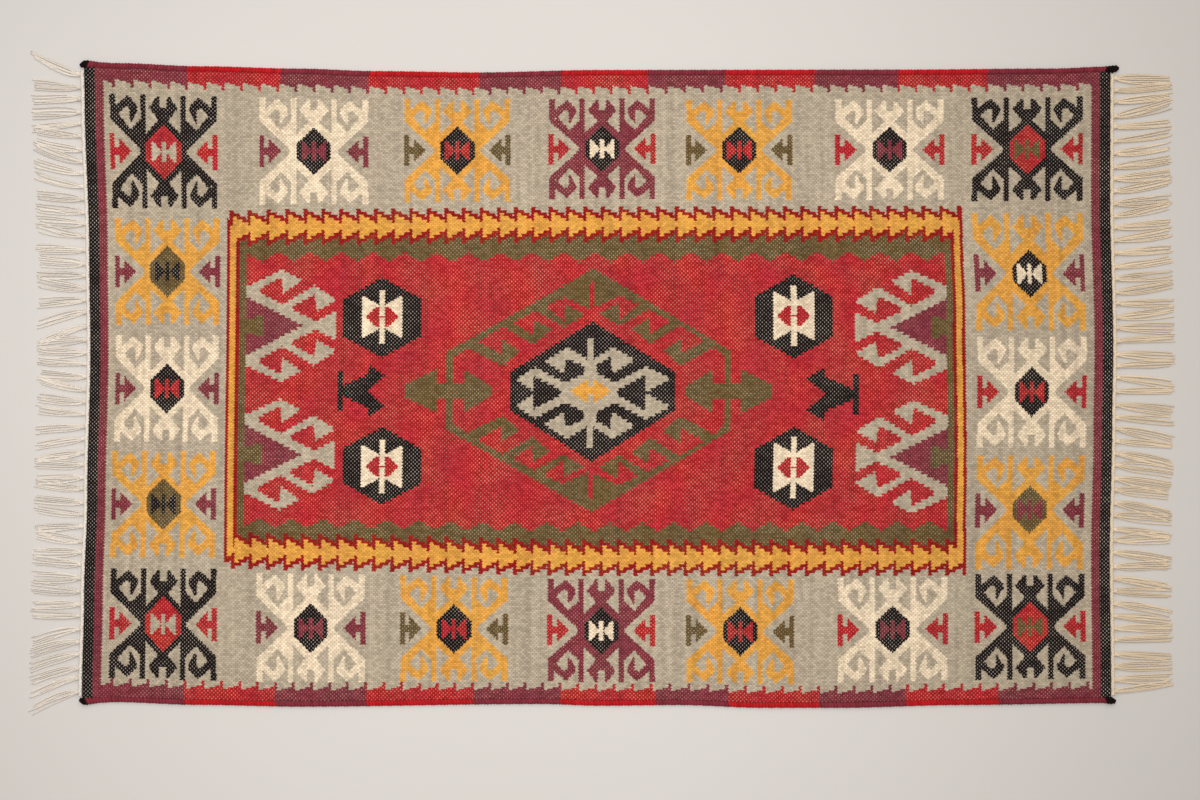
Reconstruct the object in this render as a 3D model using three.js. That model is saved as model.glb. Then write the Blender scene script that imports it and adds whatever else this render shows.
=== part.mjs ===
// A flat-woven kilim rug laid out on the floor, with a knotted cotton fringe at both short ends.
// Millimetres, +Z up. X runs along the warp, Y across it, and the rug rests on z = 0.
import * as THREE from "three";
import { mergeVertices } from "three/addons/utils/BufferGeometryUtils.js";

// Woven cloth
const WOVEN_LENGTH = 1450; // between the outer edges of the two black end bands
const WOVEN_WIDTH = 900; // over both selvedges
const CLOTH_THICK = 3.2;
const EDGE_THICK = 2.2; // the side wall of the selvedge, where it rounds over to the floor
const SELVEDGE_WIDE = 8.5;
const SELVEDGE_HIGH = 5.5;
const SELVEDGE_SHOULDER = 0.8; // height of the selvedge's shoulders, as a share of its crown
const SHOULDER_INSET = 0.15; // place of the shoulders, as a share of the selvedge's width
const GROOVE_HIGH = 2.6; // the drawn-in line between selvedge and cloth
const GROOVE_WIDE = 3;
const ROWS_BETWEEN = 18; // spans across the width, between the two grooves
const COLUMNS = 30; // spans along the length

// Cotton heading and fringe
const PIECE_GAP = 0.3; // between the cloth and each heading
const HEADING_WIDE = 5.2;
const HEADING_THICK = 3;
const LOCKS = 50; // knotted locks at each end
const LOCK_MARGIN = 6; // from the end of the heading to the first knot
const LOCK_SCATTER = 2.2; // how far a knot strays from its even place
const KNOT_OUT = 3; // how far a knot stands out past the heading
const KNOT_HIGH = 4.4;
const STRANDS = 3; // in each lock
const STRAND_ROOT_WIDE = 2.4; // where the strand leaves the knot
const STRAND_WIDE = 2.8;
const STRAND_CROWN = 0.55; // width of a strand's top, as a share of its foot
const STRAND_HIGH = 2.2;
const STRAND_SPANS = 2;
const STRAND_BEND = 0.4; // share of the sideways drift that comes late in the strand
const STRAND_TIP_STEP = 4.6; // between strands of a lock at their tips
const STRAND_TIP_CLEAR = 3.5; // least distance between neighbouring tips
const TIP_SCATTER = 1.6;
const CUT_SCATTER = 5; // how uneven the cut ends are

// How far each edge of the cloth stands outside (+) or inside (-) its straight line.
// at: place along the edge, from the middle of the rug; out: distance outwards
const FAR_EDGE = [
  { at: -725, out: 7.5 },
  { at: -680, out: 5 },
  { at: -565, out: 0.5 },
  { at: -425, out: -3 },
  { at: -320, out: -6.5 },
  { at: -170, out: -8.5 },
  { at: 0, out: -5 },
  { at: 425, out: -4.5 },
  { at: 640, out: -3 },
  { at: 725, out: 0 },
];
const NEAR_EDGE = [
  { at: -725, out: 3.5 },
  { at: -680, out: 1 },
  { at: -565, out: 5 },
  { at: -425, out: 7.5 },
  { at: -80, out: 3.5 },
  { at: 0, out: 6 },
  { at: 115, out: 5 },
  { at: 230, out: 9 },
  { at: 340, out: 9 },
  { at: 510, out: 5 },
  { at: 725, out: 2 },
];
const LEFT_EDGE = [
  { at: -434, out: 7 },
  { at: -306, out: 4 },
  { at: -164, out: -0.5 },
  { at: 48, out: -5 },
  { at: 190, out: -3.5 },
  { at: 402, out: 3 },
  { at: 438, out: 4 },
];
const RIGHT_EDGE = [
  { at: -434, out: 0 },
  { at: -235, out: -2 },
  { at: -60, out: 1.5 },
  { at: 48, out: 3 },
  { at: 260, out: -1.5 },
  { at: 438, out: -1 },
];

// The end band's yarn is wrapped round each corner and stands past the end as a knob.
const CORNER_KNOBS = { leftNear: 4, leftFar: 6, rightNear: 7, rightFar: 12 };
const KNOB_RIM = 0.15; // how soon the knob rounds off at the rug's rim

// Each end's fringe. way: -1 at the left end, +1 at the right; reach: length of the strands;
// leans: how far the tips drift sideways, towards +Y, at places along the end
const ENDS = [
  {
    name: "fringe_left",
    way: -1,
    reach: 67,
    leans: [
      { at: -440, lean: -24 },
      { at: -345, lean: -13 },
      { at: -318, lean: 4 },
      { at: -170, lean: 4 },
      { at: -70, lean: -9 },
      { at: -15, lean: 14 },
      { at: 40, lean: 4 },
      { at: 92, lean: -24 },
      { at: 130, lean: 2 },
      { at: 210, lean: 9 },
      { at: 255, lean: 6 },
      { at: 320, lean: 20 },
      { at: 385, lean: -3 },
      { at: 418, lean: 4 },
      { at: 432, lean: 30 },
    ],
  },
  {
    name: "fringe_right",
    way: 1,
    reach: 80,
    leans: [
      { at: -440, lean: 10 },
      { at: -390, lean: -3 },
      { at: -360, lean: 3 },
      { at: -310, lean: -12 },
      { at: -220, lean: -3 },
      { at: -170, lean: -12 },
      { at: -75, lean: -12 },
      { at: 0, lean: -7 },
      { at: 40, lean: -2 },
      { at: 110, lean: 9 },
      { at: 330, lean: 10 },
      { at: 395, lean: 16 },
      { at: 440, lean: -4 },
    ],
  },
];

const COLOURS = { wool: "#a8262e", cotton: "#e8dcc6" };
const CLOTH_ROUGHNESS = 0.95;

const { lerp, smoothstep, clamp } = THREE.MathUtils;

// A number from -1 to 1 that looks random and is the same each time.
function scatter(index, seed) {
  const wave = Math.sin(index * 12.9898 + seed * 78.233) * 43758.5453;
  return 2 * (wave - Math.floor(wave)) - 1;
}

// A value read from a table's column, eased from row to row and held past its ends.
function eased(table, column, at) {
  const last = table.length - 1;
  if (at <= table[0].at) return table[0][column];
  if (at >= table[last].at) return table[last][column];
  const upper = table.findIndex((row) => row.at > at);
  const a = table[upper - 1];
  const b = table[upper];
  return lerp(a[column], b[column], smoothstep(at, a.at, b.at));
}

// How far the knob at a corner carries the end outwards, from the selvedge's groove to its rim.
function knobOut(end, across) {
  const inset = (WOVEN_WIDTH / 2 - Math.abs(across)) / SELVEDGE_WIDE;
  if (inset >= 1) return 0;
  const reach = CORNER_KNOBS[end + (across > 0 ? "Far" : "Near")];
  return reach * Math.sin(Math.PI * lerp(KNOB_RIM, 1, inset));
}

// A point of the cloth's plan: along runs from 0 at the left end to 1 at the right end,
// and across from -WOVEN_WIDTH / 2 at the near edge to WOVEN_WIDTH / 2 at the far edge.
function clothPlan(along, across) {
  const left = WOVEN_LENGTH / 2 + eased(LEFT_EDGE, "out", across) + knobOut("left", across);
  const right = WOVEN_LENGTH / 2 + eased(RIGHT_EDGE, "out", across) + knobOut("right", across);
  const x = lerp(-left, right, along);
  const edge = across > 0 ? FAR_EDGE : NEAR_EDGE;
  const y = across * (1 + eased(edge, "out", x) / (WOVEN_WIDTH / 2));
  return new THREE.Vector2(x, y);
}

// The places across the width where the cloth has a row of points, with its height there.
function clothRows() {
  const half = WOVEN_WIDTH / 2;
  const shoulder = SELVEDGE_HIGH * SELVEDGE_SHOULDER;
  const selvedge = [
    { inset: 0, high: EDGE_THICK },
    { inset: SELVEDGE_WIDE * SHOULDER_INSET, high: shoulder },
    { inset: SELVEDGE_WIDE / 2, high: SELVEDGE_HIGH },
    { inset: SELVEDGE_WIDE * (1 - SHOULDER_INSET), high: shoulder },
    { inset: SELVEDGE_WIDE, high: GROOVE_HIGH },
  ];
  const near = selvedge.map((row) => ({ across: row.inset - half, high: row.high }));
  const far = selvedge.map((row) => ({ across: half - row.inset, high: row.high })).reverse();
  const inner = half - SELVEDGE_WIDE - GROOVE_WIDE;
  const flat = [];
  for (let i = 0; i <= ROWS_BETWEEN; i++) {
    flat.push({ across: lerp(-inner, inner, i / ROWS_BETWEEN), high: CLOTH_THICK });
  }
  return { all: [...near, ...flat, ...far], flat };
}

// Indexed triangles as a closed geometry with its shared points merged.
function closedGeometry(points, triangles) {
  const geometry = new THREE.BufferGeometry();
  geometry.setAttribute("position", new THREE.Float32BufferAttribute(points.flat(), 3));
  geometry.setIndex(triangles.flat());
  return mergeVertices(geometry);
}

// The two triangles of a four-cornered face, its corners in turn.
function quad(a, b, c, d) {
  return [
    [a, b, c],
    [a, c, d],
  ];
}

// The woven cloth: rows of points across its width, walls round its rim and one flat underside.
function wovenCloth(rows) {
  const points = [];
  const triangles = [];
  const stride = COLUMNS + 1;
  for (const row of rows) {
    for (let column = 0; column <= COLUMNS; column++) {
      const plan = clothPlan(column / COLUMNS, row.across);
      points.push([plan.x, plan.y, row.high]);
    }
  }
  const top = rows.length - 1;
  for (let row = 0; row < top; row++) {
    for (let column = 0; column < COLUMNS; column++) {
      const a = row * stride + column;
      triangles.push(...quad(a, a + 1, a + 1 + stride, a + stride));
    }
  }
  const rim = [];
  for (let column = 0; column < COLUMNS; column++) rim.push(column);
  for (let row = 0; row < top; row++) rim.push(row * stride + COLUMNS);
  for (let column = COLUMNS; column > 0; column--) rim.push(top * stride + column);
  for (let row = top; row > 0; row--) rim.push(row * stride);
  const floor = points.length;
  rim.forEach((index) => points.push([points[index][0], points[index][1], 0]));
  rim.forEach((index, i) => {
    const next = (i + 1) % rim.length;
    triangles.push(...quad(floor + i, floor + next, rim[next], index));
  });
  const outline = rim.map((index) => new THREE.Vector2(points[index][0], points[index][1]));
  for (const [a, b, c] of THREE.ShapeUtils.triangulateShape(outline, [])) {
    triangles.push([floor + a, floor + c, floor + b]);
  }
  return closedGeometry(points, triangles);
}

// The x of a cloth end at a place y along it, on the straight stretch between two rows.
function endAt(edge, y) {
  const lower = clamp(edge.findLastIndex((point) => point.y <= y), 0, edge.length - 2);
  const a = edge[lower];
  const b = edge[lower + 1];
  return lerp(a.x, b.x, (y - a.y) / (b.y - a.y));
}

// The places y of one end's knots, from the near side to the far side.
function knotPlaces(end, edge) {
  const first = edge[0].y + LOCK_MARGIN;
  const last = edge[edge.length - 1].y - LOCK_MARGIN;
  const places = [];
  for (let lock = 0; lock < LOCKS; lock++) {
    const even = lerp(first, last, lock / (LOCKS - 1));
    places.push(clamp(even + scatter(lock, 1 + end.way) * LOCK_SCATTER, first, last));
  }
  return places;
}

// The heading's sections from the near side to the far side. At a knot it stands out and up,
// and a section that starts a strand says which strand of its lock that is.
function headingSections(end, edge, places) {
  const sections = [{ y: edge[0].y, knot: false }];
  places.forEach((place, lock) => {
    for (let k = 0; k <= STRANDS; k++) {
      const y = place + (k - STRANDS / 2) * STRAND_ROOT_WIDE;
      sections.push({ y, knot: true, lock, strand: k < STRANDS ? k : null });
    }
    if (lock + 1 < LOCKS) sections.push({ y: (place + places[lock + 1]) / 2, knot: false });
  });
  sections.push({ y: edge[edge.length - 1].y, knot: false });
  return sections;
}

// The tips of one end's strands in order, kept clear of each other.
function strandTips(end, edge, places) {
  const tips = [];
  places.forEach((place, lock) => {
    const drift = place + eased(end.leans, "lean", place);
    for (let k = 0; k < STRANDS; k++) {
      const index = lock * STRANDS + k;
      const stray = scatter(index, 5 + end.way) * TIP_SCATTER;
      const y = drift + (k - (STRANDS - 1) / 2) * STRAND_TIP_STEP + stray;
      const least = index ? tips[index - 1].y + STRAND_TIP_CLEAR : y;
      const reach = HEADING_WIDE + end.reach + (scatter(index, 9 + end.way) * CUT_SCATTER) / 2;
      tips.push({ x: endAt(edge, place) + end.way * reach, y: Math.max(y, least) });
    }
  });
  return tips;
}

// A strand's own section, flat on the floor: near foot, far foot, far crown, near crown.
function strandSection(x, y) {
  const foot = STRAND_WIDE / 2;
  const crown = foot * STRAND_CROWN;
  return [
    [x, y - foot, 0],
    [x, y + foot, 0],
    [x, y + crown, STRAND_HIGH],
    [x, y - crown, STRAND_HIGH],
  ];
}

// One end's fringe: a heading that follows the cloth's end, with a tube drawn out of its
// outer wall for each strand, so that the strands are one solid with it at their roots.
function fringe(end, rows) {
  const edge = rows.map((row) => clothPlan(end.way < 0 ? 0 : 1, row.across));
  const places = knotPlaces(end, edge);
  const sections = headingSections(end, edge, places);
  const tips = strandTips(end, edge, places);
  const points = [];
  const faces = [];
  for (const { y, knot } of sections) {
    const inner = endAt(edge, y) + end.way * PIECE_GAP;
    const outer = inner + end.way * (HEADING_WIDE + (knot ? KNOT_OUT : 0));
    points.push([inner, y, 0]);
    points.push([outer, y, 0]);
    points.push([outer, y, knot ? KNOT_HIGH : HEADING_THICK]);
    points.push([inner, y, HEADING_THICK]);
  }
  faces.push(...quad(0, 1, 2, 3));
  const last = (sections.length - 1) * 4;
  faces.push(...quad(last, last + 3, last + 2, last + 1));
  for (let i = 0; i < sections.length - 1; i++) {
    const a = i * 4;
    const next = a + 4;
    faces.push(...quad(a, next, next + 1, a + 1));
    faces.push(...quad(a + 3, a + 2, next + 2, next + 3));
    faces.push(...quad(a, a + 3, next + 3, next));
    let ring = [a + 1, next + 1, next + 2, a + 2];
    const { lock, strand } = sections[i];
    if (strand === undefined || strand === null) {
      faces.push(...quad(...ring));
      continue;
    }
    const tip = tips[lock * STRANDS + strand];
    const rootX = points[a + 1][0];
    const rootY = (sections[i].y + sections[i + 1].y) / 2;
    for (let span = 1; span <= STRAND_SPANS; span++) {
      const share = span / STRAND_SPANS;
      const drift = share * lerp(1, share, STRAND_BEND);
      const start = points.length;
      points.push(...strandSection(lerp(rootX, tip.x, share), lerp(rootY, tip.y, drift)));
      const nextRing = [start, start + 1, start + 2, start + 3];
      for (let side = 0; side < 4; side++) {
        const turn = (side + 1) % 4;
        faces.push(...quad(ring[side], ring[turn], nextRing[turn], nextRing[side]));
      }
      ring = nextRing;
    }
    faces.push(...quad(...ring));
  }
  return closedGeometry(points, end.way > 0 ? faces : faces.map((face) => face.reverse()));
}

// A named piece in its own yarn.
function piece(name, geometry, colour) {
  const material = new THREE.MeshStandardMaterial({
    color: colour,
    roughness: CLOTH_ROUGHNESS,
    metalness: 0,
  });
  const mesh = new THREE.Mesh(geometry, material);
  mesh.name = name;
  return mesh;
}

const rows = clothRows();
const rug = new THREE.Group();
rug.add(piece("rug_field", wovenCloth(rows.all), COLOURS.wool));
for (const end of ENDS) rug.add(piece(end.name, fringe(end, rows.flat), COLOURS.cotton));

// The origin is on the floor, under the middle of the whole rug with its fringe.
const middle = new THREE.Box3().setFromObject(rug).getCenter(new THREE.Vector3());
rug.position.set(-middle.x, -middle.y, 0);

export default rug;
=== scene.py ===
"""A flat-woven wool kilim with a knotted cotton fringe, laid out on a pale floor."""
import math

import bpy
import numpy as np
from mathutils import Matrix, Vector


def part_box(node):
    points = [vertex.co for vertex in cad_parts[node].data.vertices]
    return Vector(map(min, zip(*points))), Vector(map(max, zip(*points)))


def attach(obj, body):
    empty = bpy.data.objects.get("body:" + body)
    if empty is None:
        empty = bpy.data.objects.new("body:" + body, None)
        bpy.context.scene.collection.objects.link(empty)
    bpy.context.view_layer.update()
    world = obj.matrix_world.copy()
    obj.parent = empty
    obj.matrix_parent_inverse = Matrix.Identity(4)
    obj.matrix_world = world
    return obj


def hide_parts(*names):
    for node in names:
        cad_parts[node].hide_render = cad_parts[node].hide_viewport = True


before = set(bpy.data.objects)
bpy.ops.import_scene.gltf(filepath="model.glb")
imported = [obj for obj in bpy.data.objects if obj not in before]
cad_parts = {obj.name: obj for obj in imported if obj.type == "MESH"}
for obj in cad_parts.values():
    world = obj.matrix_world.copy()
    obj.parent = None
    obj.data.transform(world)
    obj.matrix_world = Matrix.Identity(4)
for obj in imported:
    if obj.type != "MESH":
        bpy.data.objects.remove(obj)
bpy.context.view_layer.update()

MM = 0.001

# The straight cloth, in millimetres from its middle: u runs along the warps and v across them
LENGTH = 1450
WIDTH = 900
THREAD = 2.15  # spacing of the warps, and of the picks that cross them
SHOWN_THREAD = 2.74  # floats and dots so fine wouldn't show, so the weave is drawn a little coarser
CLOTH_THICK = 3.2
SELVEDGE_WIDE = 8.5
SELVEDGE_HIGH = 5.5
GROOVE_WIDE = 3
CLOTH_HALF = WIDTH / 2 - SELVEDGE_WIDE + 0.5  # the woven face, up to under the selvedge cords
RIPPLE = 0.35  # how far the laid cloth's face rises and falls
RIPPLES = [(61, 170, 0), (-240, 83, 1.3)]  # its waves: length along x and y to a radian, and phase

# Yarns, each with its dye and how far the cotton warp shows between its floats
YARNS = {
    "stone": ("#B7A892", 0.06),
    "red": ("#AE1A1E", 0.23),
    "plum": ("#7C2B36", 0.20),
    "gold": ("#E0A046", 0.05),
    "cream": ("#EBD6B8", 0.04),
    "olive": ("#624D26", 0.25),
    "black": ("#150B0B", 0.26),
    "black end": ("#150B0B", 0.33),
    "red line": ("#951510", 0.07),
}
YARN_NAMES = list(YARNS)
COTTON = "#F9ECDC"  # of the warp, where it shows in the cloth

# How far each edge of the cloth lies outside (+) or inside (-) its straight line: place, out
FAR_EDGE = [(-725, 7.5), (-680, 5), (-565, 0.5), (-425, -3), (-320, -6.5), (-170, -8.5),
            (0, -5), (425, -4.5), (640, -3), (725, 0)]
NEAR_EDGE = [(-725, 3.5), (-680, 1), (-565, 5), (-425, 7.5), (-80, 3.5), (0, 6), (115, 5),
             (230, 9), (340, 9), (510, 5), (725, 2)]
LEFT_EDGE = [(-434, 7), (-306, 4), (-164, -0.5), (48, -5), (190, -3.5), (402, 3), (438, 4)]
RIGHT_EDGE = [(-434, 0), (-235, -2), (-60, 1.5), (48, 3), (260, -1.5), (438, -1)]

# The same for the lines of the inner frame: place, out
FRAME_FAR = [(-523, -3), (-424, 0), (0, 4), (510, 5)]
FRAME_NEAR = [(-523, -3), (-424, 0), (0, 9), (200, 9), (510, 8)]
FRAME_LEFT = [(-256, 3.5), (239, -1)]
FRAME_RIGHT = [(-250, 0), (0, 4), (100, 3), (250, -4)]
FRAME_FAR_V = 222
FRAME_NEAR_V = -237
FRAME_LEFT_U = -514
FRAME_RIGHT_U = 506


def eased(table, at):
    """A table's second column at a place in its first, eased from row to row and held past its ends."""
    places, values = np.array(table, float).T
    at = np.clip(at, places[0], places[-1])
    upper = np.clip(np.searchsorted(places, at, side="right"), 1, len(places) - 1)
    share = (at - places[upper - 1]) / (places[upper] - places[upper - 1])
    share = share * share * (3 - 2 * share)
    return values[upper - 1] + (values[upper] - values[upper - 1]) * share


def shared_out(lines, at):
    """The drift at a place between lines whose own drift is known: rows of line and drift."""
    drift = lines[0][1]
    for (a, drift_a), (b, drift_b) in zip(lines, lines[1:]):
        drift = drift + (drift_b - drift_a) * np.clip((at - a) / (b - a), 0, 1)
    return drift


def laid(u, v):
    """Where a place of the straight cloth lies on the floor, uneven as it was woven."""
    along = [
        (-LENGTH / 2, -eased(LEFT_EDGE, v)),
        (FRAME_LEFT_U, -eased(FRAME_LEFT, v)),
        (FRAME_RIGHT_U, eased(FRAME_RIGHT, v)),
        (LENGTH / 2, eased(RIGHT_EDGE, v)),
    ]
    across = [
        (-WIDTH / 2, -eased(NEAR_EDGE, u)),
        (FRAME_NEAR_V, -eased(FRAME_NEAR, u)),
        (0, 0),
        (FRAME_FAR_V, eased(FRAME_FAR, u)),
        (WIDTH / 2, eased(FAR_EDGE, u)),
    ]
    return u + shared_out(along, u), v + shared_out(across, v)


def scatter(index, seed):
    """A number from -1 to 1 that looks random and is the same each time."""
    wave = math.sin(index * 12.9898 + seed * 78.233) * 43758.5453
    return 2 * (wave - math.floor(wave)) - 1


# The frame's origin is under the middle of the whole rug, the charts' is the middle of the cloth
edge_u = np.linspace(-LENGTH / 2, LENGTH / 2, 200)
near_edge_y = laid(edge_u, np.full_like(edge_u, -WIDTH / 2))[1].min()
far_edge_y = laid(edge_u, np.full_like(edge_u, WIDTH / 2))[1].max()
field_low, field_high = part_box("rug_field")
SHIFT_Y = (field_low.y + field_high.y) / 2 / MM - (near_edge_y + far_edge_y) / 2
LEFT_KNOBS = {"near": 4, "far": 6}
RIGHT_KNOBS = {"near": 7, "far": 12}
left_corner_x = laid(np.array([-LENGTH / 2]), np.array([-WIDTH / 2 + SELVEDGE_WIDE / 2]))[0][0]
SHIFT_X = field_low.x / MM - left_corner_x + LEFT_KNOBS["near"]


def metres(x, y, z):
    """Points of the charts' frame, in millimetres, as an array of points of the part's frame."""
    x, y, z = np.broadcast_arrays(np.asarray(x, float) + SHIFT_X, np.asarray(y, float) + SHIFT_Y, z)
    return np.stack([x, y, z], axis=-1) * MM


# Charts

BOLD = 2 * THREAD  # slanting edges of the field step over two warps at a time
FINE = THREAD  # and those of small motifs over one


def stepped(v, middle, step=BOLD):
    """Places across the cloth as the steps of slanting edges take them, counted from a middle."""
    return middle + step * np.round((v - middle) / step)


class Chart:
    """The yarn of each pick of the cloth. Motifs are drawn in millimetres, one over another."""

    ROOM = [-2, 3]  # picks to spare at both sides of an outline, since rows are shifted by half a pick

    def __init__(self, u, v):
        self.u, self.v = u, v
        self.yarn = np.zeros(u.shape, int)

    def fill(self, where, yarn):
        self.yarn[where] = YARN_NAMES.index(yarn)

    def draw(self, outline, yarn, middle, step):
        """Fills a closed outline, in steps that are counted from the motif's middle across the cloth."""
        outline = np.array(outline, float)
        (low_u, low_v), (high_u, high_v) = outline.min(0), outline.max(0)
        rows = slice(*np.searchsorted(stepped(self.v[:, 0], middle, step), [low_v, high_v]))
        columns = slice(*(np.searchsorted(self.u[0], [low_u, high_u]) + self.ROOM).clip(0))
        u, v = self.u[rows, columns], stepped(self.v[rows, columns], middle, step)
        inside = np.zeros(u.shape, bool)
        for (u0, v0), (u1, v1) in zip(outline, np.roll(outline, 1, axis=0)):
            if v0 != v1:
                crossed = (v0 > v) != (v1 > v)
                inside ^= crossed & (u < u0 + (u1 - u0) * (v - v0) / (v1 - v0))
        self.yarn[rows, columns][inside] = YARN_NAMES.index(yarn)

    def quarters(self, outline, yarn, centre, wide=(1, 1), high=(1, 1), step=FINE):
        """Fills an outline drawn for one quarter in all four, each side with its own stretch."""
        for side_u, stretch_u in zip((-1, 1), wide):
            for side_v, stretch_v in zip((-1, 1), high):
                turn = np.array([side_u * stretch_u, side_v * stretch_v])
                self.draw(np.array(outline) * turn + centre, yarn, centre[1], step)

    def halves(self, outline, yarn, centre, way=1, high=(1, 1), step=BOLD):
        """Fills an outline drawn for the far half in both, facing along way, each with its own stretch."""
        for side, stretch in zip((-1, 1), high):
            self.draw(np.array(outline) * [way, side * stretch] + centre, yarn, centre[1], step)


HORNS_WIDE, HORNS_HALF = 154, 80  # width and half height that the border motif is drawn at
CORE_WIDE, CORE_FLARE = 15, 0.27  # half width of its core, and the share of the core's height added to it
CORE_SHOULDER = 0.32  # height of the core's shoulder, as a share of its own


def rams_horns(chart, centre, wide, down, up, core_high, body, core, glyph, side):
    """One border motif: four posts with hooked horns, prongs at top and bottom, a cored waist."""
    stretch = {"wide": (wide / HORNS_WIDE,) * 2, "high": (down / HORNS_HALF, up / HORNS_HALF)}
    post = [(77.3, 80), (68.6, 80), (68.6, 45), (76.8, 44.5)]
    horn = [(70, 62), (51, 78), (37.5, 64.5), (37, 58), (46.3, 40.5), (48.5, 42), (48.5, 60), (54.5, 62.5),
            (64.5, 51.5), (70, 47)]
    arm = [(76.5, 44.5), (69, 47.5), (64.5, 51.5), (47.5, 30.5), (32.5, 45.5), (32.9, 80), (25.1, 80),
           (25.1, 25.5), (7, 44), (0, 48), (0, 0), (34, 0), (34, 2.5), (37, 6)]
    prong = [(0, 47), (7, 44), (21, 61.5), (8.5, 78), (5.3, 78), (4.7, 61), (0, 61)]
    for outline in (post, horn, arm, prong):
        chart.quarters(outline, body, centre, **stretch)
    core_wide = CORE_WIDE + core_high * CORE_FLARE
    shoulder = core_high * CORE_SHOULDER
    chart.quarters([(0, core_high), (core_wide, shoulder), (core_wide, 0), (0, 0)], core, centre)
    bar = [(0, 13.5), (2.9, 13.5), (2.9, 0), (0, 0)]
    wings = [(17.5, 13.5), (14.5, 13.5), (4, 1.3), (2.9, 1.3), (2.9, 0), (17.5, 0)]
    for outline in (bar, wings):
        chart.quarters(outline, glyph, centre)
    foot = [(77.8, 24.5), (70.5, 24.5), (70.5, 0), (77.8, 0)]
    neck = [(71.5, 6.5), (63, 6.5), (63, 0), (71.5, 0)]
    wedge = [(64, 18.5), (46.5, 0), (64, 0)]
    for outline in (foot, neck, wedge):
        chart.quarters(outline, side, centre, **stretch)


# Border motifs. u, v: middle; wide: width; down, up: height under and over the middle; core: half
# height of the core; then the yarns of the body, the core, the glyph in it and the wedges at the sides
BORDER = [
    (-616, 329, 149, 79, 79, 37.5, "black", "red", "stone", "red"),
    (-404, 332, 154, 76.5, 76.5, 34, "cream", "black", "plum", "plum"),
    (-200, 333, 150, 76, 76, 36, "gold", "black", "red", "olive"),
    (6, 333, 151, 74, 74, 34, "plum", "black", "cream", "red"),
    (201, 332, 150, 74, 74, 35, "gold", "black", "red", "olive"),
    (415, 332, 154, 74.5, 74.5, 34, "cream", "black", "plum", "red"),
    (609, 331, 155, 77, 77, 36.5, "black", "red", "olive", "red"),
    (-613, 161, 149, 76.5, 76.5, 37, "gold", "olive", "black", "plum"),
    (-613, -7, 149, 77, 77, 36, "cream", "black", "red", "plum"),
    (-615, -172, 149, 76, 76, 37, "gold", "olive", "black", "plum"),
    (609, 153.5, 155, 77.5, 84.5, 33, "gold", "black", "cream", "plum"),
    (610, -11, 155, 76.5, 76.5, 35, "cream", "black", "red", "red"),
    (610, -172, 154, 82.5, 74.5, 33, "gold", "olive", "plum", "plum"),
    (-613, -340, 150, 76.5, 76.5, 38, "black", "red", "stone", "red"),
    (-405, -341, 153, 75, 75, 34, "cream", "black", "plum", "plum"),
    (-203, -341, 151, 75, 75, 35, "gold", "black", "red", "olive"),
    (5, -341, 151, 75, 75, 34, "plum", "black", "cream", "red"),
    (201, -341, 151, 75, 75, 35, "gold", "black", "red", "olive"),
    (416, -340, 154, 75, 75, 34, "cream", "black", "plum", "red"),
    (611, -338, 156, 77, 77, 36, "black", "red", "olive", "red"),
]


def sawtooth(u, teeth, later=0):
    """Steps that fall from 1 to 0 towards +u in each tooth, and rise at once at the next."""
    pitch, starts = teeth
    return 1 - np.mod((u - later - eased(starts, u)) / pitch, 1)


# The inner frame, outwards from the field: olive, red, gold and red
FIELD_LEFT, FIELD_RIGHT = -499.8, 493.5
FRAME_SIDES = [
    ("red line", -527.5, 520),
    ("gold", -523.2, 515.5),
    ("red line", -514.4, 507.3),
    ("olive", -509.8, 502.5),
]
# How the frame's right side drifts: place, towards +u
RIGHT_DRIFT = [(-250, 0.5), (-150, -1.2), (48, -4.7), (150, -4), (230, -2)]
DRIFT_FALL = 4  # how fast that drift falls off towards the middle of the field
# Teeth: their pitch, and where one starts as they drift along the row (place, start)
FAR_TEETH = (25.2, [(-515, 5), (-410, 9.6), (-205, 8), (0, 3.8), (205, 11.7), (410, 8.3)])
NEAR_TEETH = (24.5, [(-410, -3), (-205, 3.7), (0, 2), (205, -3.3), (410, 0)])
GOLD_LATER = 4.7  # the gold tooth starts after the red one, so red lines its upright side
RED_BAND = (14.1, 12.8)  # half height at the root of a tooth, and how much more at its point
GOLD_BAND = (4.2, 14)
SCALLOP_PITCH = 45
SCALLOP_START = 22  # from the field's left side
SCALLOP_SHALLOW, SCALLOP_DEEP = 36, 49  # the olive's edge, inwards from the middle of the band
# How much deeper it is along the row: place, deeper
FAR_DEEPER = [(-500, -1), (-350, 0), (-200, 2.5), (0, 3.5), (490, 3.5)]
NEAR_DEEPER = [(-500, -2.5), (-200, -1.5), (0, 0), (490, 1)]


def drifted(chart):
    """The chart's u, less the drift of the frame's right side."""
    near_side = np.clip(chart.u / FIELD_RIGHT, 0, 1) ** DRIFT_FALL
    return chart.u - eased(RIGHT_DRIFT, chart.v) * near_side


def side_lines(chart):
    """The frame's lines down both sides of the field, once more over the feet of the combs."""
    u, v = drifted(chart), chart.v
    beside = ((u < FIELD_LEFT) | (u > FIELD_RIGHT)) & (v < FRAME_FAR_V - SCALLOP_DEEP)
    beside &= v > FRAME_NEAR_V + SCALLOP_DEEP
    for yarn, left, right in FRAME_SIDES:
        chart.fill(beside & (u > left) & (u < right), yarn)


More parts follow.
